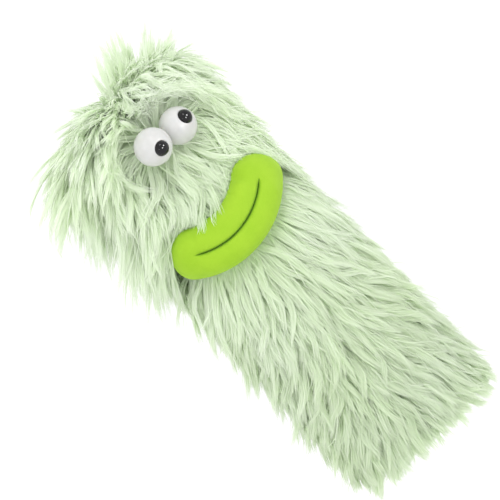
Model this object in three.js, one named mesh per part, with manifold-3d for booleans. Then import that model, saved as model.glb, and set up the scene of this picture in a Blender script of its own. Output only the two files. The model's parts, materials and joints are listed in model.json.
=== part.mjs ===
// A furry hand puppet with a moving mouth. Millimetres, +Z up, the face looks along -Y.
// The origin is the middle of the opening at the hem, where the hand goes in.
//
// The puppet is a padded, lined tube of long-pile fabric. The upper jaw is the whole head, lifted by
// four fingers, and the lower jaw is dropped by the thumb. Both turn about one cloth fold, which runs
// along X behind the mouth. The two padded lips meet on a smile-shaped arc, and two ball eyes sit on
// the forehead on shanks with lock washers behind.
import * as THREE from "three";
import { mergeVertices } from "three/addons/utils/BufferGeometryUtils.js";
import Module from "manifold-3d";

const wasm = await Module();
wasm.setup();

// ---- driving dimensions ----
const GAP = 0.3; // between pieces that touch on the real puppet
const HALF_WIDTH = 41; // tube, to the top of the lying pile
const DEPTH_RATIO = 0.8; // the tube's depth over its width
const PILE = 7; // fabric backing and lying pile together
const PADDING = 3.6;
const LINING = 1.2;
const CROWN_TOP = 228;
const CROWN_HEIGHT = 22; // the stretch over which the head closes
const HINGE_Z = 145; // the fold behind the mouth, on the Y = 0 plane
const HEAD_OPEN = 27; // degrees kept clear behind the head, for 25 of tilt
const JAW_OPEN = 27; // degrees kept clear behind the jaw, for 25 of drop
const JAW_DROP = 30; // the jaw's height under the fold
const ROUND = 40; // sides of the tube
const HEM = 1.8; // thickness of the turned hem under the walls
const paddingOut = PILE + GAP;
const liningOut = paddingOut + PADDING + GAP;
const cavity = liningOut + LINING; // the lining's inner face

const SMILE_RADIUS = 39; // arc on which the lips meet
const SMILE_Z = 136.2; // its lowest point, before the tilt
const SMILE_END = THREE.MathUtils.degToRad(39.7);
const SMILE_TILT = THREE.MathUtils.degToRad(6.5); // a crooked grin, higher on the right
const LIP_END = 11; // length of a lip's round end past the arc
const UPPER_LIP = 13.5;
const LOWER_LIP = 12.5;
const LIP_FRONT = -44;
const LIP_BACK = -26.5;
const LIP_MIDDLE = (LIP_FRONT + LIP_BACK) / 2;
const LIP_WRAP = 8 / 30 ** 2; // how the lips bend back round the tube
const LIP_COVER = 1.4;
const LIP_MEET = 0.35; // from the arc to each lip
const CLEAR = 0.6; // between the lips and the fabric around them
const MOUTH_FRONT = 22; // depth of the sheets in the mouth
const FOLD_CLEAR = 3.5; // from the fold to those sheets

const EYE_RADIUS = 9.3;
const PUPIL_RADIUS = 3.9;
const PUPIL_SEAT = 8.4; // from the ball's centre to the pupil's flat back
const SHANK_RADIUS = 2;
const SHANK_PAST = 4.6; // from a washer's front face to the shank's end
const WASHER_RADIUS = 6.5;
const WASHER_THICKNESS = 1.6;
const EYES = {
  left: { centre: [-2.2, -44, 192.8], look: [0.27, -0.89, -0.37], washer: -24 },
  right: { centre: [13.5, -33.5, 192.1], look: [0.61, -0.78, 0.08], washer: -20 },
};

// ---- looks of each material ----
const LOOKS = {
  pile: { color: 0xcfe3bf, roughness: 0.95 },
  lip: { color: 0xa6e233, roughness: 0.85 },
  lining: { color: 0xdfe6d6, roughness: 0.9 },
  wadding: { color: 0xf1f1ec, roughness: 1.0 },
  mouth: { color: 0x4f8f1f, roughness: 0.9 },
  board: { color: 0x3a3d3a, roughness: 0.7 },
  tape: { color: 0xbfd3ae, roughness: 0.9 },
  eye: { color: 0xf3f2ee, roughness: 0.35 },
  pupil: { color: 0x0b0b0c, roughness: 0.08 },
  washer: { color: 0xd8d8d4, roughness: 0.5 },
};

// ---- solids and booleans ----
// Six times the signed volume under one triangle.
function underTriangle(position, a, b, c) {
  const corner = (i) => new THREE.Vector3().fromBufferAttribute(position, i);
  return corner(a).dot(corner(b).cross(corner(c)));
}

// A closed body from a closed geometry, its faces turned outward.
function solid(geometry) {
  const bare = geometry.index ? geometry.toNonIndexed() : geometry.clone();
  for (const name of Object.keys(bare.attributes)) {
    if (name !== "position") bare.deleteAttribute(name);
  }
  const merged = mergeVertices(bare, 1e-3);
  const position = merged.attributes.position;
  const triangles = [];
  let volume = 0;
  for (let i = 0; i < merged.index.count; i += 3) {
    const [a, b, c] = merged.index.array.subarray(i, i + 3);
    if (a === b || b === c || c === a) continue;
    triangles.push([a, b, c]);
    volume += underTriangle(position, a, b, c);
  }
  const facing = volume > 0 ? triangles : triangles.map(([a, b, c]) => [a, c, b]);
  return new wasm.Manifold(
    new wasm.Mesh({
      numProp: 3,
      vertProperties: position.array,
      triVerts: new Uint32Array(facing.flat()),
    }),
  );
}

function geometryOf(body) {
  const mesh = body.getMesh();
  const geometry = new THREE.BufferGeometry();
  geometry.setAttribute("position", new THREE.BufferAttribute(mesh.vertProperties, 3));
  geometry.setIndex(new THREE.BufferAttribute(mesh.triVerts, 1));
  geometry.computeVertexNormals();
  return geometry;
}

const cut = (body, ...tools) => tools.reduce((left, tool) => left.subtract(tool), body);
const joined = (...bodies) => bodies.reduce((whole, body) => whole.add(body));

// ---- shape helpers ----
// A closed profile of [radius, z] points turned about Z and squashed to the tube's oval.
function turned(profile, sides = ROUND) {
  const points = [...profile, profile[0]].map(([r, z]) => new THREE.Vector2(r, z));
  const geometry = new THREE.LatheGeometry(points, sides);
  geometry.rotateX(Math.PI / 2);
  geometry.scale(1, DEPTH_RATIO, 1);
  return solid(geometry);
}

// A [y, z] outline run along X from -half to half.
function prism(outline, half = 70) {
  const shape = new THREE.Shape(outline.map(([y, z]) => new THREE.Vector2(y, z)));
  const geometry = new THREE.ExtrudeGeometry(shape, { depth: 2 * half, bevelEnabled: false });
  geometry.translate(0, 0, -half);
  geometry.applyMatrix4(new THREE.Matrix4().set(0, 0, 1, 0, 1, 0, 0, 0, 0, 1, 0, 0, 0, 0, 0, 1));
  return solid(geometry);
}

function rod(radius, from, to, sides = 16) {
  const along = to.clone().sub(from);
  const geometry = new THREE.CylinderGeometry(radius, radius, along.length(), sides);
  const turn = new THREE.Quaternion().setFromUnitVectors(
    new THREE.Vector3(0, 1, 0),
    along.clone().normalize(),
  );
  geometry.applyQuaternion(turn);
  geometry.translate(...from.clone().add(to).multiplyScalar(0.5).toArray());
  return solid(geometry);
}

// ---- the tube's walls ----
// Half the tube's width at a height, in from the pile's surface.
function halfWidth(z, inset) {
  const rise = Math.max(0, z - (CROWN_TOP - CROWN_HEIGHT)) / (CROWN_HEIGHT - inset);
  const closing = Math.pow(Math.max(0, 1 - Math.pow(rise, 2.6)), 1 / 2.2);
  return (HALF_WIDTH - inset) * closing;
}

// The outline of the tube and its closed crown, [radius, z] from a start height up to the axis.
function tubeOutline(inset, bottom) {
  const steps = 6;
  const shoulder = CROWN_TOP - CROWN_HEIGHT;
  const outline = [[HALF_WIDTH - inset, bottom]];
  for (let i = 0; i <= steps; i++) {
    const turn = (i / steps) * (Math.PI / 2);
    const z = shoulder + (CROWN_HEIGHT - inset) * Math.sin(turn);
    outline.push([i === steps ? 0 : halfWidth(z, inset), z]);
  }
  return outline;
}

// A wall of the tube between two insets, open at the bottom.
function wall(outer, inner, bottom) {
  return turned([...tubeOutline(outer, bottom), ...tubeOutline(inner, bottom).reverse()]);
}

// Everything inside the tube, in from the pile's surface.
const core = (inset, bottom) => turned([[0, bottom], ...tubeOutline(inset, bottom)]);

// ---- which body a stretch of wall goes with, as [y, z] outlines ----
const degrees = (angle) => Math.tan(THREE.MathUtils.degToRad(angle));
const FAR = 90;

const headZone = (gap = GAP) =>
  prism([
    [-FAR, HINGE_Z + gap],
    [0, HINGE_Z + gap],
    [FAR, HINGE_Z + gap + FAR * degrees(HEAD_OPEN)],
    [FAR, HINGE_Z + 200],
    [-FAR, HINGE_Z + 200],
  ]);

const jawZone = (gap = GAP) =>
  prism([
    [-FAR, HINGE_Z - gap],
    [-FAR, HINGE_Z - JAW_DROP],
    [-JAW_DROP * degrees(JAW_OPEN) - gap, HINGE_Z - JAW_DROP],
    [-gap, HINGE_Z - gap],
  ]);

// In front, the sleeve stays under the arc that the chin sweeps as it drops.
const SWEEP = [
  [-FAR, -33],
  [-36, -33],
  [-30, -39],
  [-23, -44],
  [-12, -43],
  [0.5, -38],
];
const sleeveZone = () =>
  prism([
    [FAR, HINGE_Z - GAP],
    [0.5, HINGE_Z - GAP],
    ...SWEEP.map(([y, z]) => [y, HINGE_Z + z]).reverse(),
    [-FAR, -10],
    [FAR, -10],
  ]);

const frontHalf = () => prism([[-FAR, -20], [-GAP / 2, -20], [-GAP / 2, 300], [-FAR, 300]]);
const backHalf = () => prism([[GAP / 2, -20], [FAR, -20], [FAR, 300], [GAP / 2, 300]]);

// ---- the lips ----
// The middle of the line between the arc's two ends.
const SMILE_CENTRE = new THREE.Vector2(0, SMILE_Z + SMILE_RADIUS * (1 - Math.cos(SMILE_END)));

// A point of the front view, a length along the smile from its middle and a height over its arc.
// Past the arc's ends the smile runs on straight.
function onSmile(along, over) {
  const turn = THREE.MathUtils.clamp(along / SMILE_RADIUS, -SMILE_END, SMILE_END);
  const past = along - turn * SMILE_RADIUS;
  const radius = SMILE_RADIUS - over;
  const point = new THREE.Vector2(
    radius * Math.sin(turn) + past * Math.cos(turn),
    SMILE_Z + SMILE_RADIUS - radius * Math.cos(turn) + past * Math.sin(turn),
  );
  point.rotateAround(SMILE_CENTRE, SMILE_TILT);
  return { x: point.x, z: point.y };
}

// A padded roll along one side of the smile, in from the lip's surface: side 1 is the upper lip and
// -1 the lower. Its section is a rounded square that closes at both ends onto the line where the
// lips meet. The roll bends back round the tube. A cutter keeps its depth right to the ends, and
// reaches across the line where the lips meet.
function lipRoll(side, inset, back, front, cutter = false) {
  const near = LIP_MEET + inset;
  const height = (side === 1 ? UPPER_LIP : LOWER_LIP) - inset - near;
  const reach = SMILE_END * SMILE_RADIUS + LIP_END - inset;
  const geometry = new THREE.SphereGeometry(1, 14, 20);
  geometry.rotateZ(Math.PI / 2);
  const square = (value) => Math.sign(value) * Math.pow(Math.abs(value), 2 / 3);
  const position = geometry.attributes.position;
  for (let i = 0; i < position.count; i++) {
    const share = THREE.MathUtils.clamp(position.getX(i), -1, 1);
    const ring = Math.hypot(position.getY(i), position.getZ(i)) || 1;
    const size = Math.pow(1 - share ** 4, 1 / 4);
    const up = (1 + square(position.getZ(i) / ring)) / 2;
    const aft = square(position.getY(i) / ring);
    const across = cutter ? 3 * (1 - up) : 0;
    const { x, z } = onSmile(share * reach, side * (near + size * height * up - across));
    const middle = LIP_BACK + size * (LIP_MIDDLE - LIP_BACK);
    const face = cutter ? front : LIP_BACK + size * (front - LIP_BACK);
    const y = middle + Math.abs(aft) * ((aft > 0 ? back : face) - middle);
    position.setXYZ(i, x, y + LIP_WRAP * x * x, z);
  }
  return solid(geometry);
}

// The hole that the two lips fill in the fabric.
const mouthCutter = () => joined(lipRoll(1, -CLEAR, -5, -FAR, true), lipRoll(-1, -CLEAR, -5, -FAR, true));

// A sheet that follows the smile, between two heights over its arc, kept inside the mouth.
function smileSheet(low, high) {
  const reach = SMILE_END * SMILE_RADIUS + 2;
  const geometry = new THREE.BoxGeometry(2 * reach, MOUTH_FRONT, high - low, 12, 1, 1);
  const position = geometry.attributes.position;
  for (let i = 0; i < position.count; i++) {
    const { x, z } = onSmile(position.getX(i), position.getZ(i) + (low + high) / 2);
    position.setXYZ(i, x, position.getY(i) - MOUTH_FRONT / 2 - FOLD_CLEAR, z);
  }
  return solid(geometry).intersect(core(paddingOut + 2.6, 60));
}

// ---- eyes ----
function pupil(eye, grow = 0) {
  const radius = PUPIL_RADIUS + grow;
  const profile = [[0, PUPIL_SEAT - 5 - grow], [1.2 + grow, PUPIL_SEAT - 5 - grow]];
  profile.push([1.2 + grow, PUPIL_SEAT - grow]);
  const steps = 4;
  for (let i = 0; i <= steps; i++) {
    const turn = (i / steps) * (Math.PI / 2);
    const x = i === steps ? 0 : radius * Math.cos(turn);
    profile.push([x, PUPIL_SEAT - grow + (3 + 2 * grow) * Math.sin(turn)]);
  }
  const points = profile.map(([r, h]) => new THREE.Vector2(r, h));
  const geometry = new THREE.LatheGeometry(points, 16);
  const turn = new THREE.Quaternion().setFromUnitVectors(
    new THREE.Vector3(0, 1, 0),
    new THREE.Vector3(...eye.look).normalize(),
  );
  geometry.applyQuaternion(turn);
  geometry.translate(...eye.centre);
  return solid(geometry);
}

function ball(eye, radius) {
  const geometry = new THREE.SphereGeometry(radius, 20, 14);
  geometry.translate(...eye.centre);
  return solid(geometry);
}

function shank(eye, radius) {
  const [x, y, z] = eye.centre;
  const end = new THREE.Vector3(x, eye.washer + SHANK_PAST, z);
  return rod(radius, new THREE.Vector3(x, y, z), end, 10);
}

function eyeball(eye) {
  return cut(joined(ball(eye, EYE_RADIUS), shank(eye, SHANK_RADIUS)), pupil(eye, GAP));
}

function washer(eye) {
  const [x, , z] = eye.centre;
  const disc = (radius, back, front) =>
    rod(radius, new THREE.Vector3(x, back, z), new THREE.Vector3(x, front, z));
  const plate = disc(WASHER_RADIUS, eye.washer + WASHER_THICKNESS, eye.washer);
  return cut(plate, disc(SHANK_RADIUS + GAP, eye.washer + 3, eye.washer - 3));
}

// Room for an eye in the fabric, and for its washer in the padding.
const eyeSockets = () =>
  joined(...Object.values(EYES).flatMap((eye) => [ball(eye, EYE_RADIUS + GAP), shank(eye, 2.4)]));
const washerRooms = () =>
  joined(
    ...Object.values(EYES).map((eye) => {
      const [x, , z] = eye.centre;
      const from = new THREE.Vector3(x, -60, z);
      return rod(WASHER_RADIUS + 0.6, from, new THREE.Vector3(x, eye.washer + SHANK_PAST + 1, z));
    }),
  );

// ---- the longest locks of fur, as cones that are joined at their roots ----
const LOCK_RADIUS = 9;

// A cone from a root point, leaning from straight up by an angle about Y: positive leans towards +X.
function lock([x, y, z], lean, length) {
  const geometry = new THREE.ConeGeometry(LOCK_RADIUS, length, 10);
  geometry.translate(0, length / 2, 0);
  geometry.rotateX(Math.PI / 2);
  geometry.rotateY(lean);
  geometry.translate(x, y, z);
  return solid(geometry);
}

function crownTuft() {
  const cones = [18, 21, 23, 24, 22].map((length, i) => {
    return lock([4 + 6.2 * i, i % 2 ? 1.5 : -1.5, CROWN_TOP - 7], 0.2 + 0.19 * i, length);
  });
  return cut(joined(...cones), core(-GAP, 100));
}

// Locks that hang away from the left side of the head.
function sideLocks() {
  const cones = [0, 1, 2, 3, 4, 5].map((i) => {
    const z = CROWN_TOP - 9 - 9 * i;
    return lock([6 - halfWidth(z, 0), i % 2 ? 1.5 : -1.5, z], -1.8 - 0.15 * i, 28);
  });
  return cut(joined(...cones), core(-GAP, 100));
}

// ---- assembly ----
const puppet = new THREE.Group();
puppet.name = "moving_mouth_puppet";

function place(name, look, body) {
  const material = new THREE.MeshStandardMaterial({ metalness: 0, ...LOOKS[look] });
  const mesh = new THREE.Mesh(geometryOf(body), material);
  mesh.name = name;
  puppet.add(mesh);
}

function sleeve() {
  const pile = wall(0, PILE, HEM + GAP).intersect(sleeveZone());
  place("sleeve_front_panel", "pile", pile.intersect(frontHalf()));
  place("sleeve_back_panel", "pile", pile.intersect(backHalf()));
  const padding = wall(paddingOut, paddingOut + PADDING, HEM + GAP);
  place("sleeve_padding", "wadding", padding.intersect(sleeveZone()));
  const lining = wall(liningOut, cavity, HEM + GAP);
  place("sleeve_lining", "lining", lining.intersect(sleeveZone()));
  const rim = HALF_WIDTH - 1.5;
  const inner = HALF_WIDTH - cavity - GAP;
  const facing = [
    [inner - LINING, 0],
    [rim, 0],
    [rim, HEM],
    [inner, HEM],
    [inner, 16],
    [inner - LINING, 16],
  ];
  place("hem_facing", "tape", turned(facing));
  const welt = rod(1.6, new THREE.Vector3(-25, 0, HINGE_Z), new THREE.Vector3(25, 0, HINGE_Z), 12);
  place("mouth_fold_welt", "tape", welt);
}

// The stretches of fabric that crumple as the jaws move.
function folds() {
  const pile = wall(0, PILE, HEM);
  const nape = prism([
    [GAP, HINGE_Z],
    [FAR, HINGE_Z],
    [FAR, HINGE_Z - GAP + FAR * degrees(HEAD_OPEN)],
  ]);
  place("nape_fold", "pile", pile.intersect(nape));
  const chin = prism([
    [-FAR, HINGE_Z - JAW_DROP - GAP],
    ...SWEEP.map(([y, z]) => [y - GAP, HINGE_Z + z + GAP]),
    [SWEEP.at(-1)[0] - GAP, HINGE_Z - 1],
    [-JAW_DROP * degrees(JAW_OPEN) + GAP, HINGE_Z - JAW_DROP - GAP],
  ]);
  place("chin_fold", "pile", pile.intersect(chin));
}

function head() {
  const shell = cut(wall(0, PILE, 60).intersect(headZone()), mouthCutter());
  place("head_front_panel", "pile", cut(shell.intersect(frontHalf()), eyeSockets()));
  place("head_back_panel", "pile", shell.intersect(backHalf()));
  place("crown_tuft", "pile", crownTuft());
  place("side_locks", "pile", sideLocks());
  const roof = HINGE_Z + 28;
  const above = (z) => prism([[-FAR, z], [FAR, z], [FAR, 300], [-FAR, 300]]);
  const below = (z) => prism([[-FAR, 0], [FAR, 0], [FAR, z], [-FAR, z]]);
  const stuffing = core(PILE + GAP, 100).intersect(above(roof + GAP));
  place("head_padding", "wadding", cut(stuffing, washerRooms(), eyeSockets()));
  const bag = cut(core(PILE + GAP, 60), core(PILE + GAP + LINING, 50).intersect(below(roof - LINING)));
  const pocket = bag.intersect(below(roof)).intersect(headZone(1));
  place("finger_pocket", "lining", cut(pocket, mouthCutter()));
  place("upper_mouth_plate", "board", smileSheet(2.2, 3.8));
  place("mouth_roof_lining", "mouth", smileSheet(0.5, 1.9));
  placeLip("upper", 1);
  for (const [name, eye] of Object.entries(EYES)) {
    place(`${name}_eyeball`, "eye", eyeball(eye));
    place(`${name}_pupil`, "pupil", pupil(eye));
    place(`${name}_eye_washer`, "washer", washer(eye));
  }
}

function jaw() {
  const shell = cut(wall(0, PILE, 60).intersect(jawZone()), mouthCutter());
  place("chin_panel", "pile", shell);
  const inset = PILE + GAP;
  const floor = HINGE_Z - JAW_DROP + 1;
  const room = prism([[-FAR, floor + LINING], [FAR, floor + LINING], [FAR, 300], [-FAR, 300]]);
  const bag = cut(core(inset, floor), core(inset + LINING, 60).intersect(room));
  place("thumb_pocket", "lining", cut(bag.intersect(jawZone(1)), mouthCutter()));
  place("lower_mouth_plate", "board", smileSheet(-3.8, -2.2));
  place("mouth_floor_lining", "mouth", smileSheet(-1.9, -0.5));
  placeLip("lower", -1);
}

// A lip's sewn cover, open at the back, and the wadding inside it.
function placeLip(name, side) {
  const outer = lipRoll(side, 0, LIP_BACK, LIP_FRONT);
  const hollow = lipRoll(side, LIP_COVER, LIP_BACK + 12, LIP_FRONT + LIP_COVER);
  place(`${name}_lip_cover`, "lip", cut(outer, hollow));
  const filling = lipRoll(side, LIP_COVER + GAP, LIP_BACK, LIP_FRONT + LIP_COVER + GAP);
  place(`${name}_lip_filling`, "wadding", filling);
}

sleeve();
folds();
head();
jaw();

export default puppet;
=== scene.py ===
"""The looks of a furry moving mouth puppet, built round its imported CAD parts.

Metres, +Z up, the face looks along -Y. The puppet is a tube of long-pile fabric: a knitted backing
that carries tens of thousands of strands in pointed locks, two padded lips, two ball eyes, and a
lined opening at the hem for the hand.
"""

import json
import math

import bpy
import numpy as np
from mathutils import Matrix, Vector
from mathutils.kdtree import KDTree


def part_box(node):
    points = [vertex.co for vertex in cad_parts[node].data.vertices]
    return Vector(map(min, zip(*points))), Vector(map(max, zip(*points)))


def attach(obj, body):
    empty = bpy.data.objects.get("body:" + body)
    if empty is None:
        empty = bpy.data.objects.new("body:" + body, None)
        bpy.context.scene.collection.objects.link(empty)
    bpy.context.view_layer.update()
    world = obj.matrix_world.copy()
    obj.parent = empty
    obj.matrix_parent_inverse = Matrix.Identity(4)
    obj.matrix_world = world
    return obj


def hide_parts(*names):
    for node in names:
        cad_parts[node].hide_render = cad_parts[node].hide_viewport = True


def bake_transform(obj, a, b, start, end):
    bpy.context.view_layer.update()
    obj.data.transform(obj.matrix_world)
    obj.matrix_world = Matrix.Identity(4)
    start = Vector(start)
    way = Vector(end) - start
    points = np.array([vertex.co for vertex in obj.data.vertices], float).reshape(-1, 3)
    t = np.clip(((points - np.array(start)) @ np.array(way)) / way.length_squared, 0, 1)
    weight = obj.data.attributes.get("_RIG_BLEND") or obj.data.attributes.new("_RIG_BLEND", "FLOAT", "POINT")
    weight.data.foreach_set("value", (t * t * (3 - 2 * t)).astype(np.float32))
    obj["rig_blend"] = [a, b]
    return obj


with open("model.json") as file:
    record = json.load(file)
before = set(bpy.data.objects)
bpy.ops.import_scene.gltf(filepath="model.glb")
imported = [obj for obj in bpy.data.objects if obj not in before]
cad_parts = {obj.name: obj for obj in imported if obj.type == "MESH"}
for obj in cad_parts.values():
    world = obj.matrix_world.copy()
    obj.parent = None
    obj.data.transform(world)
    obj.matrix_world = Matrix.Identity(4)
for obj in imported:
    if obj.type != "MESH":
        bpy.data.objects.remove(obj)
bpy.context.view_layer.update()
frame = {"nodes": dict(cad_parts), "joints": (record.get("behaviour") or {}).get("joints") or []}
rng = np.random.default_rng(11)
MM = 0.001


def box_of(node):
    low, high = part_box(node)
    return np.array(low), np.array(high)


# ---- the tube, from its CAD panels ----
HALF_WIDTH = box_of("sleeve_back_panel")[1][0]
DEPTH_RATIO = box_of("sleeve_back_panel")[1][1] / HALF_WIDTH
CROWN_TOP = box_of("head_back_panel")[1][2]
CROWN_HEIGHT = 22 * MM
SHOULDER = CROWN_TOP - CROWN_HEIGHT  # where the tube begins to close over the head
CROWN_POWER = 2.6  # how squarely it closes, in profile
SHOULDER_POWER = 2.2
HEM_Z = 2 * MM  # the backing's lower edge
BACKING_INSET = 6 * MM  # from the lying pile's surface to the knitted backing
HINGE_Z = frame["joints"][0]["pos_m"][2]
CHIN_LOW = HINGE_Z - 44 * MM  # where the cloth that moves with the jaw begins

# ---- the mouth, as its CAD lips are drawn ----
SMILE_RADIUS = 39 * MM
SMILE_Z = 136.2 * MM
SMILE_END = math.radians(39.7)
SMILE_TILT = math.radians(6.5)
SMILE_CHORD = SMILE_Z + SMILE_RADIUS * (1 - math.cos(SMILE_END))
LIP_END = 11 * MM
LIP_REACH = SMILE_END * SMILE_RADIUS + LIP_END
UPPER_LIP = 13.5 * MM
LOWER_LIP = 12.5 * MM
LIP_FRONT = -44 * MM
LIP_BACK = -26.5 * MM
LIP_WRAP = 8 / 30**2 / MM
LIP_FULLNESS = 0.46
SLIT_END = 25.5 * MM  # the slit shows this far each way along the smile
SLIT_FLOOR = 0.77  # how far forward its bottom is, as a share of the lips' depth


# ---- small helpers ----
def smooth(t):
    t = np.clip(t, 0, 1)
    return t * t * (3 - 2 * t)


def unit(v):
    return v / np.maximum(np.linalg.norm(v, axis=-1, keepdims=True), 1e-9)


def dot(a, b):
    return (a * b).sum(-1, keepdims=True)


def placed(name, data):
    """A new object in the scene that shows this data."""
    obj = bpy.data.objects.new(name, data)
    bpy.context.scene.collection.objects.link(obj)
    return obj


def mesh_object(name, vertices, faces, material):
    mesh = bpy.data.meshes.new(name)
    mesh.from_pydata([tuple(v) for v in vertices], [], [tuple(f) for f in faces])
    mesh.update()
    mesh.polygons.foreach_set("use_smooth", [True] * len(mesh.polygons))
    mesh.materials.append(material)
    return placed(name, mesh)


def grid_faces(rows, columns, around=False):
    """Quads of a grid of points that is stored row by row. around closes each row on itself."""
    last = columns if around else columns - 1
    return [
        (r * columns + c, r * columns + (c + 1) % columns,
         (r + 1) * columns + (c + 1) % columns, (r + 1) * columns + c)
        for r in range(rows - 1)
        for c in range(last)
    ]


# ---- materials ----
class Look:
    """A material that is being put together round its Principled shader."""

    def __init__(self, name):
        self.material = bpy.data.materials.new(name)
        self.material.use_nodes = True
        self.nodes = self.material.node_tree.nodes
        self.shader = self.nodes["Principled BSDF"]

    def join(self, value, socket):
        """Feeds a socket from another node's output, or sets it."""
        if isinstance(value, bpy.types.NodeSocket):
            self.material.node_tree.links.new(value, socket)
        else:
            socket.default_value = value

    def surface(self, **values):
        """Sets the shader's inputs, named in lower case with _ for a space."""
        for name, value in values.items():
            socket = name.replace("_", " ").title().replace("Ior", "IOR")
            self.join(value, self.shader.inputs[socket])

    def attribute(self, name):
        node = self.nodes.new("ShaderNodeAttribute")
        node.attribute_name = name
        return node.outputs["Fac"]

    def texture(self, kind, **values):
        """A procedural texture in the object's own metres."""
        place = self.nodes.new("ShaderNodeTexCoord")
        node = self.nodes.new(kind)
        self.join(place.outputs["Object"], node.inputs["Vector"])
        for name, value in values.items():
            self.join(value, node.inputs[name.title()])
        return node

    def noise(self, scale, detail):
        return self.texture("ShaderNodeTexNoise", scale=scale, detail=detail).outputs["Fac"]

    def ramp(self, value, *stops):
        """A colour that goes with a value, by stops of (value, colour)."""
        node = self.nodes.new("ShaderNodeValToRGB")
        elements = node.color_ramp.elements
        while len(elements) < len(stops):
            elements.new(0.5)
        for element, (position, colour) in zip(elements, stops):
            element.position = position
            element.color = (*colour, 1)
        self.join(value, node.inputs["Fac"])
        return node.outputs["Color"]

    def maths(self, operation, *values):
        node = self.nodes.new("ShaderNodeMath")
        node.operation = operation
        for value, socket in zip(values, node.inputs):
            self.join(value, socket)
        return node.outputs[0]

    def product(self, first, second):
        """Two colours multiplied."""
        node = self.nodes.new("ShaderNodeMix")
        node.data_type = "RGBA"
        node.blend_type = "MULTIPLY"
        sockets = {s.name: s for s in node.inputs if s.enabled}
        for socket, value in (("Factor", 1.0), ("A", first), ("B", second)):
            self.join(value, sockets[socket])
        return next(s for s in node.outputs if s.enabled)

    def bump(self, height, distance, strength=1.0):
        node = self.nodes.new("ShaderNodeBump")
        for socket, value in (("Height", height), ("Distance", distance), ("Strength", strength)):
            self.join(value, node.inputs[socket])
        self.surface(normal=node.outputs["Normal"])


def fur_material():
    """Colour runs from a strand's root to its tip, and each strand and patch has its own tone. The tone is
    partly random and partly painted light: the locks are lighter towards the crown and darker towards the
    hem.

    Half of the light that a strand scatters goes on through it.
    """
    look = Look("mint_pile")
    # Painted shade: the strands are a little darker towards their roots, deep in the pile, and lighter at
    # their tips.
    root, middle, tip = (0.89, 0.95, 0.83), (0.91, 0.965, 0.85), (0.93, 0.975, 0.885)
    along = look.ramp(look.attribute("tip"), (0.0, root), (0.4, middle), (1.0, tip))
    # The tone's darkest to lightest colours. The tone is partly painted light, which lightens the locks
    # towards the crown and darkens them towards the hem.
    deep, usual, bright = (0.87, 0.9, 0.83), (0.96, 0.97, 0.945), (1.0, 1.0, 1.0)
    tone_and_painted_light = look.ramp(look.attribute("tone_and_painted_light"), (0.0, deep), (0.5, usual), (1.0, bright))
    patches = look.ramp(look.noise(24, 1.0), (0.35, (0.97, 0.985, 0.94)), (0.65, bright))
    colour = look.product(look.product(along, tone_and_painted_light), patches)
    look.surface(base_color=colour, roughness=0.7, specular_ior_level=0.25)
    through = look.nodes.new("ShaderNodeBsdfTranslucent")
    look.join(colour, through.inputs["Color"])
    both = look.nodes.new("ShaderNodeMixShader")
    both.inputs["Fac"].default_value = 0.5
    look.join(look.shader.outputs["BSDF"], both.inputs[1])
    look.join(through.outputs["BSDF"], both.inputs[2])
    look.join(both.outputs["Shader"], look.nodes["Material Output"].inputs["Surface"])
    return look.material


BANDS_PER_METRE = 3.2  # of a wave texture whose scale is 1


def cloth_material(name, dark, light, pitch, distance):
    """A plain weave: two sets of threads that cross, over a faint mottle."""
    look = Look(name)
    threads = []
    for axis in ("X", "Z"):
        wave = look.texture("ShaderNodeTexWave", scale=1 / pitch / BANDS_PER_METRE, distortion=0.6)
        wave.bands_direction = axis
        threads.append(wave.outputs["Fac"])
    weave = look.maths("MULTIPLY", *threads)
    mottled = look.maths("MULTIPLY_ADD", look.noise(180, 3.0), 0.5, weave)
    look.surface(base_color=look.ramp(mottled, (0.1, dark), (0.8, light)))
    look.surface(roughness=0.85, sheen_weight=0.2)
    look.bump(weave, distance)
    return look.material


def lip_material():
    """Short, dense lime plush with a fine nap and a soft sheen."""
    look = Look("lime_plush")
    nap = look.maths("MULTIPLY_ADD", look.noise(1500, 2.0), 0.45, look.noise(90, 3.0))
    colour = look.ramp(nap, (0.45, (0.3, 0.53, 0.022)), (0.95, (0.35, 0.58, 0.03)))
    look.surface(base_color=colour, roughness=0.9, specular_ior_level=0.2)
    look.surface(sheen_weight=0.15, sheen_roughness=0.5, sheen_tint=(0.7, 1.0, 0.3, 1))
    look.bump(nap, 0.12 * MM, 0.5)
    return look.material


def eye_material():
    look = Look("eye_white")
    colour = look.ramp(look.noise(260, 3.0), (0.35, (0.6, 0.6, 0.585)), (0.65, (0.64, 0.64, 0.63)))
    look.surface(base_color=colour, roughness=0.38)
    look.surface(subsurface_weight=0.15, subsurface_radius=(0.004, 0.003, 0.0025))
    return look.material


def pupil_material():
    look = Look("pupil_black")
    dark, light = (0.004, 0.004, 0.005), (0.012, 0.011, 0.012)
    colour = look.ramp(look.noise(300, 2.0), (0.3, dark), (0.7, light))
    look.surface(base_color=colour, roughness=0.05, specular_ior_level=0.3)
    return look.material


def mottled_material(name, dark, light, scale, roughness, distance):
    look = Look(name)
    clouds = look.noise(scale, 4.0)
    look.surface(base_color=look.ramp(clouds, (0.3, dark), (0.7, light)), roughness=roughness)
    look.bump(clouds, distance)
    return look.material


def grey(value, warmth=0.0):
    return (value, value, value - warmth)


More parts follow.
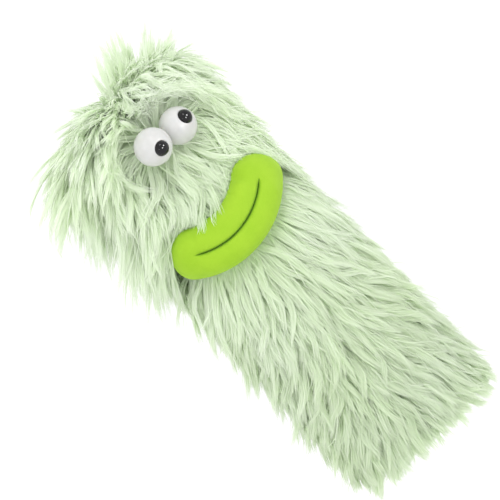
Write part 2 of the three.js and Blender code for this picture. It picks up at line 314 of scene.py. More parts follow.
FUR = fur_material()
BACKING = cloth_material("knit_backing", (0.72, 0.82, 0.62), (0.82, 0.9, 0.73), 1.2 * MM, 0.2 * MM)
LINING = cloth_material("lining_cloth", (0.58, 0.64, 0.52), (0.74, 0.8, 0.67), 0.8 * MM, 0.08 * MM)
TAPE = cloth_material("hem_tape", (0.5, 0.6, 0.42), (0.66, 0.76, 0.56), 1.0 * MM, 0.12 * MM)
MOUTH = cloth_material("mouth_cloth", (0.12, 0.3, 0.01), (0.2, 0.42, 0.02), 0.8 * MM, 0.1 * MM)
LIPS = lip_material()
EYE = eye_material()
PUPIL = pupil_material()
WADDING = mottled_material("wadding", grey(0.7, 0.02), grey(0.86, 0.02), 220, 0.95, 0.6 * MM)
WASHER = mottled_material("washer_plastic", grey(0.62, 0.02), grey(0.74, 0.02), 350, 0.45, 0.03 * MM)
BOARD = mottled_material(
    "mouth_board", (0.05, 0.055, 0.05), (0.09, 0.095, 0.09), 500, 0.6, 0.05 * MM
)


# ---- the tube's surface, as a level of one function ----
def crown_rise(z, inset):
    """How far up the crown a height is: 0 at the shoulder and 1 on top."""
    return np.maximum(0, z - SHOULDER) / (CROWN_HEIGHT - inset)


def half_width(z, inset):
    closing = np.maximum(0, 1 - crown_rise(z, inset) ** CROWN_POWER)
    return (HALF_WIDTH - inset) * closing ** (1 / SHOULDER_POWER)


def surface_normal(p):
    """Which way the backing faces at the points, or the level of the surface that they are on."""
    x, y, z = p[..., 0], p[..., 1], p[..., 2]
    ring = np.maximum(np.hypot(x, y / DEPTH_RATIO), 1e-6)
    width = HALF_WIDTH - BACKING_INSET
    slope = SHOULDER_POWER * ring ** (SHOULDER_POWER - 1) / width**SHOULDER_POWER
    rise = crown_rise(z, BACKING_INSET) ** (CROWN_POWER - 1)
    up = CROWN_POWER * rise / (CROWN_HEIGHT - BACKING_INSET)
    return unit(np.stack([slope * x / ring, slope * y / DEPTH_RATIO**2 / ring, up], -1))


def backing_rings(steps=70, sides=144, crown_steps=22):
    """Rings of points up the backing and over its crown, to just short of the axis."""
    straight = np.linspace(HEM_Z, SHOULDER, steps)
    turn = np.linspace(0, math.pi / 2, crown_steps)[1:-1]
    over = SHOULDER + (CROWN_HEIGHT - BACKING_INSET) * np.sin(turn)
    angle = np.linspace(0, 2 * math.pi, sides, endpoint=False)
    rings = []
    for z in np.concatenate([straight, over]):
        width = half_width(z, BACKING_INSET)
        x, y = width * np.cos(angle), width * DEPTH_RATIO * np.sin(angle)
        rings.append(np.stack([x, y, np.full(sides, z)], -1))
    return np.array(rings)


# ---- the mouth's front view ----
def smile_coordinates(x, z):
    """(length along the smile from its middle, height over its arc) of points seen from the front."""
    cos, sin = math.cos(SMILE_TILT), math.sin(SMILE_TILT)
    x, z = x * cos + (z - SMILE_CHORD) * sin, SMILE_CHORD - x * sin + (z - SMILE_CHORD) * cos
    centre = SMILE_Z + SMILE_RADIUS
    turn = np.arctan2(x, centre - z)
    inner = np.clip(turn, -SMILE_END, SMILE_END)
    end_x, end_z = SMILE_RADIUS * np.sin(inner), centre - SMILE_RADIUS * np.cos(inner)
    past = (x - end_x) * np.cos(inner) + (z - end_z) * np.sin(inner)
    over = -(x - end_x) * np.sin(inner) + (z - end_z) * np.cos(inner)
    return inner * SMILE_RADIUS + past, over


def on_smile(along, over):
    """The x and z of places on the smile: smile_coordinates the other way."""
    turn = np.clip(along / SMILE_RADIUS, -SMILE_END, SMILE_END)
    past = along - turn * SMILE_RADIUS
    radius = SMILE_RADIUS - over
    x = radius * np.sin(turn) + past * np.cos(turn)
    z = SMILE_Z + SMILE_RADIUS - radius * np.cos(turn) + past * np.sin(turn)
    cos, sin = math.cos(SMILE_TILT), math.sin(SMILE_TILT)
    return x * cos - (z - SMILE_CHORD) * sin, SMILE_CHORD + x * sin + (z - SMILE_CHORD) * cos


def end_size(along, grow=0.0):
    """How tall the lips are there, as a share: full along the arc, and round at the ends."""
    past = np.clip((np.abs(along) - SMILE_END * SMILE_RADIUS) / (LIP_END + grow), 0, 1)
    return np.sqrt(1 - past**2)


def hump(share, squareness, fullness):
    """A rounded rise and fall over shares from 0 to 1, with a top that is 1 high."""
    return np.maximum(1 - np.abs(2 * share - 1) ** squareness, 0) ** fullness


def lobe_depth(share):
    """Depth of one padded lobe: steep at the slit, rounder at its outer edge."""
    return np.where(share < 0.5, hump(share, 14, 0.3), hump(share, 2.6, LIP_FULLNESS))


def lip_depth(along, over):
    """How far the padded lips stand forward of their back. The two lobes are one past the slit."""
    size = np.maximum(end_size(along), 1e-4)
    height = np.where(over >= 0, UPPER_LIP, LOWER_LIP) * size
    lobe = lobe_depth(np.clip(np.abs(over) / height, 0, 1))
    whole = np.clip((over / size + LOWER_LIP) / (UPPER_LIP + LOWER_LIP), 0, 1)
    merged = smooth((np.abs(along) - SLIT_END + 4 * MM) / (5 * MM))
    two = np.maximum(lobe, SLIT_FLOOR * (over**2 < MM**2))
    share = (1 - merged) * two + merged * hump(whole, 2.8, LIP_FULLNESS)
    return (LIP_BACK - LIP_FRONT) * size**0.55 * share


def lip_back(x):
    """The y of the lips' back, which wraps a little round the face."""
    return LIP_BACK + LIP_WRAP * x**2


def inside_lips(p, grow=0.0):
    """Whether points in front are behind or in the lips as seen from the front, with a margin."""
    along, over = smile_coordinates(p[..., 0], p[..., 2])
    size = end_size(along, grow)
    high, low = (UPPER_LIP + grow) * size, (LOWER_LIP + grow) * size
    return (over < high) & (over > -low) & (np.abs(along) < LIP_REACH + grow) & (p[..., 1] < 0)


# ---- how cloth follows the jaws: an angle about the fold, from the mouth up over the head ----
FOLD_LEVEL = HINGE_Z - 0.1 * MM


def hinge_angle(p):
    """Degrees round the fold: 0 straight in front of it, 90 straight above, 180 behind."""
    return np.degrees(np.arctan2(p[..., 2] - HINGE_Z, -p[..., 1]))


def corner_share(x):
    """1 at the mouth's corners, which stay with the sleeve, and 0 in its middle."""
    return smooth((np.abs(x) - 14 * MM) / (17 * MM))


def upper_jaw_weight(p):
    """How far a point in front of the fold follows the head, wherever its height."""
    angle = hinge_angle(p)
    corner = 1 - corner_share(p[..., 0]) * (1 - smooth((angle - 12) / 50))
    return corner * smooth((188 - angle) / 70)


def head_weight(p):
    return upper_jaw_weight(p) * (p[..., 2] > FOLD_LEVEL)


def head_fur_weight(p):
    return np.where(p[..., 1] < 0, upper_jaw_weight(p), head_weight(p))


def jaw_weight(p):
    angle = hinge_angle(p)
    corner = 1 - corner_share(p[..., 0]) * (1 - smooth(-angle / 45))
    return corner * smooth((angle + 86) / 30) * smooth((p[..., 2] - CHIN_LOW) / (20 * MM))


def in_chin(p):
    return (p[..., 1] < 0) & (p[..., 2] > CHIN_LOW) & (p[..., 2] < HINGE_Z)


def bend_with(obj, body, weights):
    """obj follows the sleeve where its weights are 0 and the other body where they are 1.

    These weights take their place.
    """
    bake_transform(obj, "sleeve", body, start=(0, 0, HINGE_Z - 20 * MM), end=(0, 0, HINGE_Z + 20 * MM))
    shares = obj.data.attributes["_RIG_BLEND"].data
    shares.foreach_set("value", np.asarray(weights, np.float32).ravel())


# ---- the knitted backing ----
def make_backing():
    """Its mouth hole is under the lips' edges, and the chin is a piece of its own."""
    rings = backing_rings()
    rows, sides = rings.shape[:2]
    flat = rings.reshape(-1, 3)
    points = np.concatenate([flat, [[0, 0, CROWN_TOP - BACKING_INSET]]])
    faces = grid_faces(rows, sides, around=True)
    last = (rows - 1) * sides
    faces += [(last + c, last + (c + 1) % sides, len(flat)) for c in range(sides)]
    middles = np.array([points[list(f)].mean(0) for f in faces])
    hole = inside_lips(middles, -3 * MM)
    chin = in_chin(middles)
    for name, mask, body, weight in (
        ("backing_of_head_and_sleeve", ~hole & ~chin, "head", head_weight),
        ("backing_of_chin", ~hole & chin, "jaw", jaw_weight),
    ):
        kept = [faces[i] for i in np.flatnonzero(mask)]
        used = sorted({v for f in kept for v in f})
        renumber = {v: i for i, v in enumerate(used)}
        piece = mesh_object(name, points[used], [[renumber[v] for v in f] for f in kept], BACKING)
        bend_with(piece, body, weight(points[used]))


# ---- the lips ----
WADDING_INSET = 1.2 * MM
SEAM_HALF = 1.6 * MM  # of the stitched band along the slit that the cover is held by
SEAM_WIDER = 3.0 * MM  # how much wider that band is past the slit's ends
END_LAP = 0.9 * MM  # how far the two covers overlap past the slit's ends


def applied(piece):
    """Turns what a piece's modifiers make of it into its mesh."""
    seen = piece.evaluated_get(bpy.context.evaluated_depsgraph_get())
    mesh = bpy.data.meshes.new_from_object(seen)
    piece.modifiers.clear()
    piece.data = mesh
    mesh.polygons.foreach_set("use_smooth", [True] * len(mesh.polygons))


def corners_of(mesh):
    """The mesh's vertices as an array."""
    points = np.empty(len(mesh.vertices) * 3, np.float32)
    mesh.vertices.foreach_get("co", points)
    return points.reshape(-1, 3)


def blow_up(piece, held, frames=20):
    """Runs a cloth simulation with pressure inside and no gravity. The held vertices stay."""
    piece.vertex_groups.new(name="held").add([int(i) for i in held], 1.0, "REPLACE")
    cloth = piece.modifiers.new("puff", "CLOTH")
    cloth.settings.mass = 0.05
    cloth.settings.tension_stiffness = cloth.settings.compression_stiffness = 5
    cloth.settings.shear_stiffness = 5
    cloth.settings.bending_stiffness = 0.1
    cloth.settings.use_pressure = True
    cloth.settings.uniform_pressure_force = 20
    cloth.settings.effector_weights.gravity = 0
    cloth.settings.vertex_group_mass = "held"
    cloth.collision_settings.use_collision = False
    cloth.point_cache.frame_start, cloth.point_cache.frame_end = 1, frames
    for step in range(1, frames + 1):
        bpy.context.scene.frame_set(step)
    applied(piece)
    bpy.context.scene.frame_set(1)
    piece.vertex_groups.clear()


def sewn_ends(points, along, over):
    """Draws a cover's inner edge past the slit's ends over the other lip's, as one padded end."""
    near_arc = np.clip(2 - np.abs(over) / MM, 0, 1)
    merged = smooth((np.abs(along) - SLIT_END + MM) / (3 * MM)) * near_arc
    over = over - np.sign(np.median(over)) * END_LAP * merged
    x, z = on_smile(along, over)
    front = lip_back(x) - lip_depth(along, over)
    share = merged * (points[:, 1] - front < 1.6 * MM)
    return points + share[:, None] * (np.stack([x, front, z], -1) - points)


def puff(piece, scale=10.0, limit=1.1 * MM):
    """Fills a lip's cover by cloth simulation. It is held along the slit and at its back.

    It runs at ten times the size, where the solver's usual stiffness and pressure suit it. No
    point moves further than the limit.
    """
    even = piece.modifiers.new("even", "REMESH")
    even.mode = "VOXEL"
    even.voxel_size = 1.0 * MM
    applied(piece)
    points = corners_of(piece.data)
    along, over = smile_coordinates(points[:, 0], points[:, 2])
    seam = SEAM_HALF + SEAM_WIDER * smooth((np.abs(along) - SLIT_END) / (5 * MM))
    held = (np.abs(over) < seam) | (points[:, 1] > lip_back(points[:, 0]) - MM)
    piece.data.vertices.foreach_set("co", (points * scale).ravel())
    blow_up(piece, np.flatnonzero(held))
    move = corners_of(piece.data) / scale - points
    far = np.linalg.norm(move, axis=1, keepdims=True)
    points = points + move * np.minimum(1, limit / np.maximum(far, 1e-9))
    points = sewn_ends(points, along, over)
    piece.data.vertices.foreach_set("co", points.astype(np.float32).ravel())
    finer = piece.modifiers.new("finer", "SUBSURF")
    finer.levels = finer.render_levels = 1
    applied(piece)


def lip_loop(length, side, inset, steps=26):
    """The lip's section at one place on the smile: from the slit over the front, and back behind."""
    lengths = np.full(steps, length)
    height = (UPPER_LIP if side > 0 else LOWER_LIP) * float(end_size(length))
    share = (1 - np.cos(np.linspace(0, math.pi, steps))) / 2
    over = side * (inset + share * (height - 2 * inset))
    x, z = on_smile(lengths, over)
    depth = np.maximum(lip_depth(lengths, over) - 2 * inset, 0)
    depth[-1] = 0
    back = lip_back(x) - inset
    front = np.stack([x, back - depth, z], -1)
    rear = np.stack([x, back, z], -1)[[steps // 2, 0]]
    return np.concatenate([front, rear])


def make_lip(name, side, inset, material):
    """One padded lip, or the wadding inside it. side is 1 for the upper lip and -1 for the lower."""
    turn = np.linspace(-math.pi / 2, math.pi / 2, 110)
    closer_at_ends = 0.55 * np.sin(turn) + 0.45 * turn / (math.pi / 2)
    stations = (LIP_REACH * 0.999 - 3 * inset) * closer_at_ends
    loops = np.array([lip_loop(length, side, inset) for length in stations])
    rows, columns = loops.shape[:2]
    faces = grid_faces(rows, columns, around=True)
    faces += [tuple(range(columns)), tuple(range((rows - 1) * columns, rows * columns))]
    if side < 0:
        faces = [f[::-1] for f in faces]
    lip = mesh_object(name, loops.reshape(-1, 3), faces, material)
    if inset == 0:
        puff(lip)
    points = corners_of(lip.data)
    if side > 0:
        bend_with(lip, "head", upper_jaw_weight(points))
    else:
        bend_with(lip, "jaw", jaw_weight(points))
    return lip


def make_lips(place, side):
    """A lip's cover and the wadding that fills it."""
    cover = make_lip(f"{place}_lip", side, 0, LIPS)
    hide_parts(f"{place}_lip_cover")
    filling = make_lip(f"{place}_lip_wadding", side, WADDING_INSET, WADDING)
    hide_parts(f"{place}_lip_filling")


# ---- eyes ----
def eyeball(side):
    """(centre, radius). The CAD eyeball's box also holds the shank behind the ball."""
    low, high = box_of(f"{side}_eyeball")
    radius = (high[0] - low[0]) / 2
    return np.array([(low[0] + high[0]) / 2, low[1] + radius, (low[2] + high[2]) / 2]), radius


EYE_CENTRES = {side: eyeball(side)[0] for side in ("left", "right")}
EYE_RADIUS = eyeball("right")[1]
SEAT_RADIUS = 3.95 * MM  # of the shallow seat in the ball that the pupil sits in
SEAT_HEIGHT = math.sqrt(EYE_RADIUS**2 - SEAT_RADIUS**2)  # of its rim from the ball's centre
PUPIL_RADIUS = 3.7 * MM
PUPIL_RISE = 3.2 * MM
PUPIL_BASE = SEAT_HEIGHT - 0.3 * MM
ON_AXIS = 1e-6  # a radius small enough to close a profile


def turned(name, profile, material, sides=48):
    """A closed body from a profile of (radius, height) points turned about its own Z."""
    angle = np.linspace(0, 2 * math.pi, sides, endpoint=False)
    rings = [[(r * math.cos(a), r * math.sin(a), h) for a in angle] for r, h in profile]
    points = [p for ring in rings for p in ring]
    faces = grid_faces(len(profile), sides, around=True)
    bottom, top = len(points), len(points) + 1
    points += [(0, 0, profile[0][1]), (0, 0, profile[-1][1])]
    last = (len(profile) - 1) * sides
    faces += [(bottom, (c + 1) % sides, c) for c in range(sides)]
    faces += [(top, last + c, last + (c + 1) % sides) for c in range(sides)]
    return mesh_object(name, points, faces, material)


def ball_profile():
    polar = np.linspace(math.pi, math.asin(SEAT_RADIUS / EYE_RADIUS), 34)
    profile = [(EYE_RADIUS * math.sin(a) + ON_AXIS, EYE_RADIUS * math.cos(a)) for a in polar]
    profile.append((SEAT_RADIUS - 0.15 * MM, SEAT_HEIGHT - 0.05 * MM))
    profile.append((SEAT_RADIUS - 0.25 * MM, SEAT_HEIGHT - 0.4 * MM))
    return profile


def pupil_profile():
    rise = np.linspace(0, math.pi / 2 - 0.02, 16)
    dome = [(PUPIL_RADIUS * math.cos(a), PUPIL_BASE + PUPIL_RISE * math.sin(a)) for a in rise]
    return [(ON_AXIS, PUPIL_BASE)] + dome


def make_eye(side):
    centre = EYE_CENTRES[side]
    low, high = box_of(f"{side}_pupil")
    look = Vector((low + high) / 2 - centre).normalized()
    place = Matrix.Translation(Vector(centre)) @ look.to_track_quat("Z", "Y").to_matrix().to_4x4()
    ball = turned(f"{side}_eye_white", ball_profile(), EYE)
    pupil = turned(f"{side}_eye_pupil", pupil_profile(), PUPIL)
    for piece, node, slot in ((ball, "eyeball", "eye_shell"), (pupil, "pupil", "pupil_black")):
        piece.data.transform(place)
        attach(piece, "head")
        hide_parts(f"{side}_{node}")


# ---- the fur ----
GRAVITY = unit(np.array([-0.69, -0.05, -0.72]))  # the puppet leans, so loose locks hang to the left
WHORL = np.array([2, 5, 226]) * MM
FRINGE = -4 * MM  # the lowest strands' usual end
LOOSE_LOW = np.array([-72, -60, -16.5]) * MM  # no strand goes past these
LOOSE_HIGH = np.array([57, 43, 254]) * MM
LOCK_LENGTH = 27 * MM
LEFT_LONGER = 10 * MM  # how much longer the locks on the left of the head are
TUFT_SHORTEST = 13 * MM
TUFT_VARIES = 20 * MM
LOCK_RADIUS = 2.6 * MM  # about how far a lock's strands root from its middle
ROWS = 6  # places along a strand, the last of them its tip


def lay_angle(p):
    """How far the lie of the pile turns from straight down, towards +X, as seen from the front."""
    x = p[..., 0] / MM
    fan = np.where(x < 0, 1.2 * np.maximum(x, -37), 1.0 * np.minimum(x, 28))
    fan = fan * (0.6 + 0.4 * smooth(p[..., 2] / (35 * MM)))
    fan = np.where(p[..., 1] > 0, 0.6 * fan, fan)
    ripple = 7 * np.sin(p[..., 2] / (17 * MM) + 1.3 * np.sin(x / 11)) * np.cos(x / 9)
    return np.radians(fan + ripple)


def lay_of(p):
    """The lie of the pile: fanning down the sleeve, away from a whorl on the head and the eyes."""
    angle = lay_angle(p)
    fan = np.stack([np.sin(angle), np.zeros_like(angle), -np.cos(angle)], -1)
    away = unit(p - WHORL)
    share = smooth((p[..., 2:3] - 148 * MM) / (58 * MM))
    flow = fan * (1 - share) + away * share
    for centre in EYE_CENTRES.values():
        gap = p - centre
        gap[..., 1] = 0
        distance = np.linalg.norm(gap, axis=-1, keepdims=True)
        near = smooth((23 * MM - distance) / (13 * MM)) * (p[..., 1:2] < 0)
        flow = flow + 1.3 * near * unit(gap)
    return unit(flow)


def in_tuft(p):
    """The patch on the crown where some locks stand up."""
    across = (p[:, 0] > -2 * MM) & (p[:, 0] < 27 * MM) & (np.abs(p[:, 1]) < 14 * MM)
    return across & (p[:, 2] > CROWN_TOP - 15 * MM)


def grow(root, steps=10):
    """Paths of the locks' middle strands, stepped along the lie of the pile from their roots."""
    count = len(root)
    x, z = root[:, 0], root[:, 2]
    head = smooth((z - 146 * MM) / (22 * MM))
    left = smooth((-x - 6 * MM) / (24 * MM))
    side_lock = head * left
    tuft = in_tuft(root) & (rng.random(count) < 0.6)
    varied = np.clip(rng.normal(0, 1, count) * (0.12 + 0.1 * side_lock) + 1, 0.7, 1.45)
    length = (LOCK_LENGTH + LEFT_LONGER * side_lock) * varied
    length = np.where(tuft, TUFT_SHORTEST + TUFT_VARIES * rng.random(count) ** 2.4, length)
    parting = smooth((20 * MM - np.linalg.norm(root - WHORL, axis=1)) / (14 * MM))
    lift = np.radians(rng.normal(35, 7, count) + 22 * parting)
    tip_lift = np.radians(rng.normal(1, 6, count) + 14 * (rng.random(count) < 0.12))
    turn = np.radians(rng.normal(0, 1, count) * (7 + 5 * head))
    curl = np.radians(rng.normal(0, 1, count) * (11 + 12 * head))
    bend = np.radians(rng.normal(0, 14, count))
    lean = 0.45 + 0.001 * (x / MM) ** 2 + rng.normal(0, 0.13, count)
    spray = np.stack([np.sin(lean), rng.normal(0, 0.15, count), np.cos(lean)], -1)
    wild = rng.uniform(0.15, 0.7, count)
    path = [root]
    position = root
    for step in range(steps):
        t = (step + 0.5) / steps
        normal = surface_normal(position)
        flow = lay_of(position)
        outward = (flow * normal).sum(-1)
        tangent = unit(flow - dot(flow, normal) * normal)
        across = np.cross(normal, tangent)
        angle = (turn + curl * t + bend * math.sin(2 * math.pi * t))[:, None]
        tangent = tangent * np.cos(angle) + across * np.sin(angle)
        open_side = np.where(normal[:, 0] < 0, wild + 0.25 * head, 0.1)
        fly = np.arcsin(np.clip(outward, 0, 1)) * open_side
        fly = fly * (1 - 0.8 * smooth(position[:, 1] / (24 * MM)))
        rise = (lift * (1 - t) ** 2 + tip_lift * t + fly)[:, None]
        way = tangent * np.cos(rise) + normal * np.sin(rise)
        hang = 0.5 * t * side_lock
        way = unit(way + GRAVITY * hang[:, None])
        way = np.where(tuft[:, None], unit(spray + 0.3 * (1 - t) * normal), way)
        position = position + way * (length / steps)[:, None]
        path.append(position)
    return np.stack(path, 1)


def along_path(path, t):
    """Points at shares t of the way along paths that are stored at equal steps."""
    steps = path.shape[1] - 1
    place = np.clip(t * steps, 0, steps - 1e-6)
    index = place.astype(int)
    part = (place - index)[..., None]
    rows = np.arange(len(path))[:, None]
    return path[rows, index] * (1 - part) + path[rows, index + 1] * part


def clear_of_features(points, wisp):
    """Pushes strand points off the eyeballs, and the loose wisps out to the lips' surface."""
    for centre in EYE_CENTRES.values():
        gap = points - centre
        distance = np.linalg.norm(gap, axis=-1, keepdims=True)
        reach = EYE_RADIUS + 0.4 * MM
        points = np.where(distance < reach, centre + unit(gap) * reach, points)
    along, over = smile_coordinates(points[..., 0], points[..., 2])
    front = lip_back(points[..., 0]) - lip_depth(along, over) - 1.6 * MM
    within = inside_lips(points, 0.2 * MM) & (points[..., 1] > front) & wisp[:, None]
    ahead = np.where(within, front - points[..., 1], 0)
    rise = ahead.min(1, keepdims=True) * np.linspace(0, 1, points.shape[1]) ** 1.2
    points[..., 1] += np.minimum(ahead, rise)
    return points


def free_share(points, lap, eye_lap, floor):
    """The share of each strand to keep, so that it ends at a lip, an eye or the fringe's line."""
    blocked = inside_lips(points, -lap[:, None])
    for centre in EYE_CENTRES.values():
        gap = points - centre
        seen = np.hypot(gap[..., 0], gap[..., 2]) < EYE_RADIUS - eye_lap[:, None]
        blocked |= seen & (gap[..., 1] < EYE_RADIUS)
    blocked |= points[..., 2] < floor[:, None]
    blocked[:, 0] = False
    steps = points.shape[1] - 1
    return np.where(blocked.any(1), blocked.argmax(1) - 0.5, steps) / steps


def make_strands(root, guides, clump, guide_root, lock_floor, lock_pinch, wispy):
    """Each strand's points. It starts like its lock's middle strand and closes onto it.

    Some strands stray from their lock, some are shorter and fill in under the rest, and the
    locks marked as wispy may hang over the lips.
    """
    count = len(root)
    offset = (root - guide_root)[:, None, :]
    spread = np.linalg.norm(offset[:, 0], axis=1) / LOCK_RADIUS
    reach = np.clip(rng.normal(0.97, 0.07, count) - 0.13 * spread**2, 0.5, 1.08)
    stray = rng.random(count) < 0.12 + 0.12 * smooth((root[:, 2] - HINGE_Z) / (30 * MM))
    under = rng.random(count) < 0.2
    reach = reach * np.where(under, rng.uniform(0.4, 0.75, count), 1)
    pinch = np.where(stray | under, 0.15, lock_pinch[clump])[:, None, None]
    wander = rng.normal(0, 1.0, (count, 3)) * np.where(stray, 2.6, 0.55)[:, None] * MM
    wave = rng.uniform(0, 2 * math.pi, (count, 1))

    def points_for(reach, rows):
        t = np.linspace(0, 1, rows)[None, :] * reach[:, None]
        close = pinch * (t**2.3)[..., None]
        sway = np.sin(t * 6 + wave)[..., None] * t[..., None]
        loose = t[..., None] ** 1.5 + 0.4 * sway
        return along_path(guides[clump], t) + offset * (1 - close) + wander[:, None, :] * loose

    wisp = wispy[clump] & ~inside_lips(root, 5 * MM)
    lap = np.where(wisp, rng.uniform(1, 5, count), rng.uniform(0.5, 1.2, count)) * MM
    floor = lock_floor[clump] + np.abs(rng.normal(0, 1.2, count)) * MM + 1.5 * MM * spread**2
    eye_lap = np.where(rng.random(count) < 0.12, rng.uniform(0, 3.5, count), 0.3) * MM
    keep = free_share(points_for(reach, 25), lap, eye_lap, floor)
    points = points_for(reach * np.maximum(keep, 0.2), ROWS)
    points = np.clip(points, LOOSE_LOW, LOOSE_HIGH)
    return clear_of_features(points, wisp)


def ribbon_sides(points):
    """Unit vectors across the ribbons, which lie on the pile and roll a little, each its own way.

    Where strands stand up from the head they face the front or the back instead.
    """
    way = unit(np.gradient(points, axis=1))
    normal = surface_normal(points)
    to_front = np.where(points[..., 1:2] < 8 * MM, -1, 1) * np.array([0, 0.35, 0])
    normal = unit(normal - way * dot(way, normal) + to_front)
    side = unit(np.cross(way, normal))
    roll = np.radians(rng.normal(0, 18, (len(points), 1, 1)))
    return unit(side * np.cos(roll) + np.cross(way, side) * np.sin(roll))


def ribbon_mesh(name, points, width, tone_and_painted_light):
    """One mesh of narrow tapering ribbons, each with a cell of its own in the bake layout."""
    count = len(points)
    taper = np.array([0.9, 1.0, 1.0, 0.85, 0.6])[None, :, None]
    half = ribbon_sides(points)[:, :-1] * taper * (width[:, None, None] / 2)
    pairs = np.stack([points[:, :-1] - half, points[:, :-1] + half], 2).reshape(count, -1, 3)
    vertices = np.concatenate([pairs, points[:, -1:]], 1)
    each = 2 * ROWS - 1
    base = (np.arange(count) * each)[:, None]
    quads = np.array([[2 * r, 2 * r + 1, 2 * r + 3, 2 * r + 2] for r in range(ROWS - 2)]).ravel()
    corners = np.concatenate([base + quads, base + np.array([each - 3, each - 2, each - 1])], 1)
    sizes = np.tile([4] * (ROWS - 2) + [3], count)
    starts = np.concatenate([[0], np.cumsum(sizes)[:-1]])
    mesh = bpy.data.meshes.new(name)
    mesh.vertices.add(count * each)
    mesh.vertices.foreach_set("co", vertices.astype(np.float32).ravel())
    mesh.loops.add(corners.size)
    mesh.loops.foreach_set("vertex_index", corners.astype(np.int32).ravel())
    mesh.polygons.add(len(sizes))
    mesh.polygons.foreach_set("loop_start", starts.astype(np.int32))
    mesh.update(calc_edges=True)
    mesh.polygons.foreach_set("use_smooth", np.ones(len(sizes), bool))
    along = np.append(np.repeat(np.linspace(0, 1, ROWS)[:-1], 2), 1.0)
    for attribute, values in (("tip", along[None, :]), ("tone_and_painted_light", tone_and_painted_light[:, None])):
        layer = mesh.attributes.new(attribute, "FLOAT", "POINT")
        values = np.broadcast_to(values, (count, each))
        layer.data.foreach_set("value", np.ascontiguousarray(values, np.float32).ravel())
    cells = math.ceil(math.sqrt(count))
    column, row = np.arange(count) % cells, np.arange(count) // cells
    u = (column[:, None] + np.append(np.tile([0.25, 0.75], ROWS - 1), 0.5)[None, :]) / cells
    v = (row[:, None] + 0.15 + 0.7 * along[None, :]) / cells
    layout = mesh.uv_layers.new(name="OFBake")
    places = np.stack([u, v], -1).reshape(-1, 2)[corners.ravel()]
    layout.data.foreach_set("uv", places.astype(np.float32).ravel())
    mesh.materials.append(FUR)
    return placed(name, mesh)


def scatter(count):
    """Points spread over the backing, evenly but for the crown, which is denser."""
    rings = backing_rings(steps=60, sides=96)
    rows, sides = rings.shape[:2]
    quads = np.array(grid_faces(rows, sides, around=True))
    corners = rings.reshape(-1, 3)[quads]
    across, up = corners[:, 1] - corners[:, 0], corners[:, 3] - corners[:, 0]
    area = np.linalg.norm(np.cross(across, up), axis=1)
    area = area * (1 + 0.7 * smooth((corners[:, 0, 2] - CROWN_TOP + 40 * MM) / (25 * MM)))
    edges = np.cumsum(area) / area.sum()
    picked = np.searchsorted(edges, (np.arange(count) + rng.random(count)) / count)
    a, b = rng.random((count, 1)), rng.random((count, 1))
    c = corners[np.minimum(picked, len(quads) - 1)]
    low = c[:, 0] * (1 - a) + c[:, 1] * a
    high = c[:, 3] * (1 - a) + c[:, 2] * a
    return low * (1 - b) + high * b


def strand_roots(count):
    """Where strands root: all over the backing but for the lips and the eyes' middles."""
    root = scatter(count)
    clear = ~inside_lips(root, -1.0 * MM)
    for centre in EYE_CENTRES.values():
        distance = np.linalg.norm((root - centre)[:, [0, 2]], axis=1)
        clear &= distance > np.where(root[:, 1] < 0, 6.5 * MM, 0)
    return root[clear]


def nearest(points, targets):
    """The index of the nearest target to each point."""
    tree = KDTree(len(targets))
    for i, p in enumerate(targets):
        tree.insert(p, i)
    tree.balance()
    return np.array([tree.find(p)[1] for p in points])


def make_fur(strands, locks):
    guide_root = scatter(locks)
    guides = grow(guide_root)
    root = strand_roots(strands)
    clump = nearest(root, guide_root)
    lock_floor = FRINGE - 9 * MM * rng.random(locks) ** 2.2
    wispy = (rng.random(locks) < 0.13) & (np.abs(guide_root[:, 0] - 1 * MM) < 10 * MM)
    lock_pinch = rng.uniform(0.3, 0.92, locks)
    points = make_strands(root, guides, clump, guide_root[clump], lock_floor, lock_pinch, wispy)
    # Each lock's tone is partly random and partly painted light that rises with height: lighter towards the
    # crown, darker towards the hem.
    lock_tone_and_painted_light = rng.normal(0.12, 0.07, locks) + 0.84 * smooth(guide_root[:, 2] / CROWN_TOP)
    tone_and_painted_light = np.clip(lock_tone_and_painted_light[clump] + rng.normal(0, 0.08, len(root)), 0, 1)
    width = rng.uniform(0.38, 0.72, len(root)) * MM
    # The pieces are cut where the CAD's are, and the largest in two to keep each under the limit.
    chin = in_chin(root)
    high = (root[:, 2] > CHIN_LOW) & ~chin
    sleeve = ~high & ~chin
    hem = root[:, 2] < CHIN_LOW / 2
    front = root[:, 1] < 0
    crown = root[:, 2] > CROWN_TOP - 17 * MM
    left = high & ~crown & (root[:, 0] < -0.7 * HALF_WIDTH) & (root[:, 2] > HINGE_Z)
    rest = high & ~crown & ~left
    nape = root[:, 2] <= HINGE_Z + 18 * MM
    for name, mask, body, weight, nodes in (
        ("fur_of_sleeve_front", sleeve & ~hem & front, None, None, ["sleeve_front_panel"]),
        ("fur_of_hem_front", sleeve & hem & front, None, None, []),
        ("fur_of_sleeve_back", sleeve & ~hem & ~front, None, None, ["sleeve_back_panel"]),
        ("fur_of_hem_back", sleeve & hem & ~front, None, None, []),
        ("fur_of_chin", chin, "jaw", jaw_weight, ["chin_panel", "chin_fold"]),
        ("fur_of_face", rest & front, "head", head_fur_weight, ["head_front_panel"]),
        ("fur_of_head_back", rest & ~front & ~nape, "head", head_fur_weight, ["head_back_panel"]),
        ("fur_of_nape", rest & ~front & nape, "head", head_fur_weight, ["nape_fold"]),
        ("fur_of_side_locks", left, "head", head_fur_weight, ["side_locks"]),
        ("fur_of_crown", crown, "head", head_fur_weight, ["crown_tuft"]),
    ):
        piece = ribbon_mesh(name, points[mask], width[mask], tone_and_painted_light[mask])
        if body:
            bend_with(piece, body, weight(corners_of(piece.data)))
        else:
            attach(piece, "sleeve")
        if nodes:
            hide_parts(*nodes)


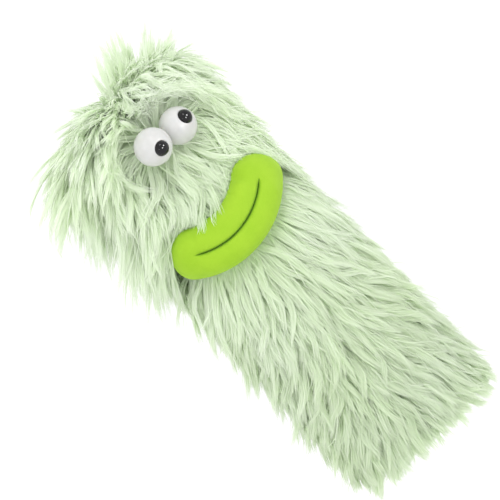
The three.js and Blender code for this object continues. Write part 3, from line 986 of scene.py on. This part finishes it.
# ---- assembly ----
def dress_kept_parts():
    """The CAD parts that are kept as they are get a material each."""
    for material, nodes in (
        (WADDING, ("sleeve_padding", "head_padding")),
        (LINING, ("sleeve_lining", "finger_pocket", "thumb_pocket")),
        (TAPE, ("hem_facing", "mouth_fold_welt")),
        (BOARD, ("upper_mouth_plate", "lower_mouth_plate")),
        (MOUTH, ("mouth_roof_lining", "mouth_floor_lining")),
        (WASHER, ("left_eye_washer", "right_eye_washer")),
    ):
        for node in nodes:
            materials = frame["nodes"][node].data.materials
            materials.clear()
            materials.append(material)


make_backing()
make_lips("upper", 1)
make_lips("lower", -1)
make_eye("left")
make_eye("right")
make_fur(112000, 4300)
dress_kept_parts()


# ---- floor, light and camera ----
FLOOR_HALF = 6.0
FLOOR_Z = -110 * MM  # the puppet is held up in the air
LIGHTS_AIM = (0, 0, 0.12)
CAMERA_TARGET = (-0.0031, 0, 0.1234)
CAMERA_DISTANCE = 0.9
CAMERA_ELEVATION = math.radians(3)
CAMERA_ROLL = math.radians(44)
VIEW_WIDTH = 0.25  # metres seen across at the target


def make_floor():
    look = Look("pale_floor")
    colour = look.ramp(look.noise(3, 1.0), (0.3, grey(0.94)), (0.7, grey(0.96)))
    look.surface(base_color=colour, roughness=0.9)
    sides = ((-1, -1), (1, -1), (1, 1), (-1, 1))
    corners = [(x * FLOOR_HALF, y * FLOOR_HALF, FLOOR_Z) for x, y in sides]
    floor = mesh_object("floor", corners, [(0, 1, 2, 3)], look.material)


def make_lights():
    """A white room, two lamps, and two more that show only as the sparkles in the pupils."""
    world = bpy.data.worlds.new("white_studio")
    world.use_nodes = True
    background = world.node_tree.nodes["Background"]
    background.inputs["Color"].default_value = (1, 1, 1, 1)
    background.inputs["Strength"].default_value = 1.12
    bpy.context.scene.world = world
    for name, place, size, power, scattered in (
        ("key", (0.28, -0.55, 0.68), 0.16, 1.2, True),
        ("fill", (-0.4, -0.75, 0.2), 0.12, 0.4, True),
        ("sparkle_low", (0.27, -0.76, -0.06), 0.2, 5.0, False),
        ("sparkle_side", (0.67, -0.54, 0.16), 0.2, 5.0, False),
    ):
        light = bpy.data.lights.new(name, "AREA")
        light.size = size
        light.energy = power
        lamp = placed(name, light)
        lamp.location = place
        lamp.visible_diffuse = scattered
        lamp.rotation_mode = "QUATERNION"
        lamp.rotation_quaternion = (Vector(LIGHTS_AIM) - Vector(place)).to_track_quat("-Z", "Y")


def make_camera():
    """Square in front, a little above, and rolled so that the puppet leans to the left."""
    back = Vector((0, -math.cos(CAMERA_ELEVATION), math.sin(CAMERA_ELEVATION)))
    camera = bpy.data.cameras.new("camera")
    camera.sensor_width = 36
    camera.lens = camera.sensor_width * CAMERA_DISTANCE / VIEW_WIDTH
    camera.clip_start = 0.05
    holder = placed("camera", camera)
    upright = (-back).to_track_quat("-Z", "Y").to_matrix()
    rolled = upright @ Matrix.Rotation(-CAMERA_ROLL, 3, "Z")
    holder.location = Vector(CAMERA_TARGET) + back * CAMERA_DISTANCE
    holder.rotation_mode = "QUATERNION"
    holder.rotation_quaternion = rolled.to_quaternion()
    bpy.context.scene.camera = holder


make_floor()
make_lights()
make_camera()
bpy.context.scene.view_settings.view_transform = "Standard"
bpy.context.scene.cycles.diffuse_bounces = 12
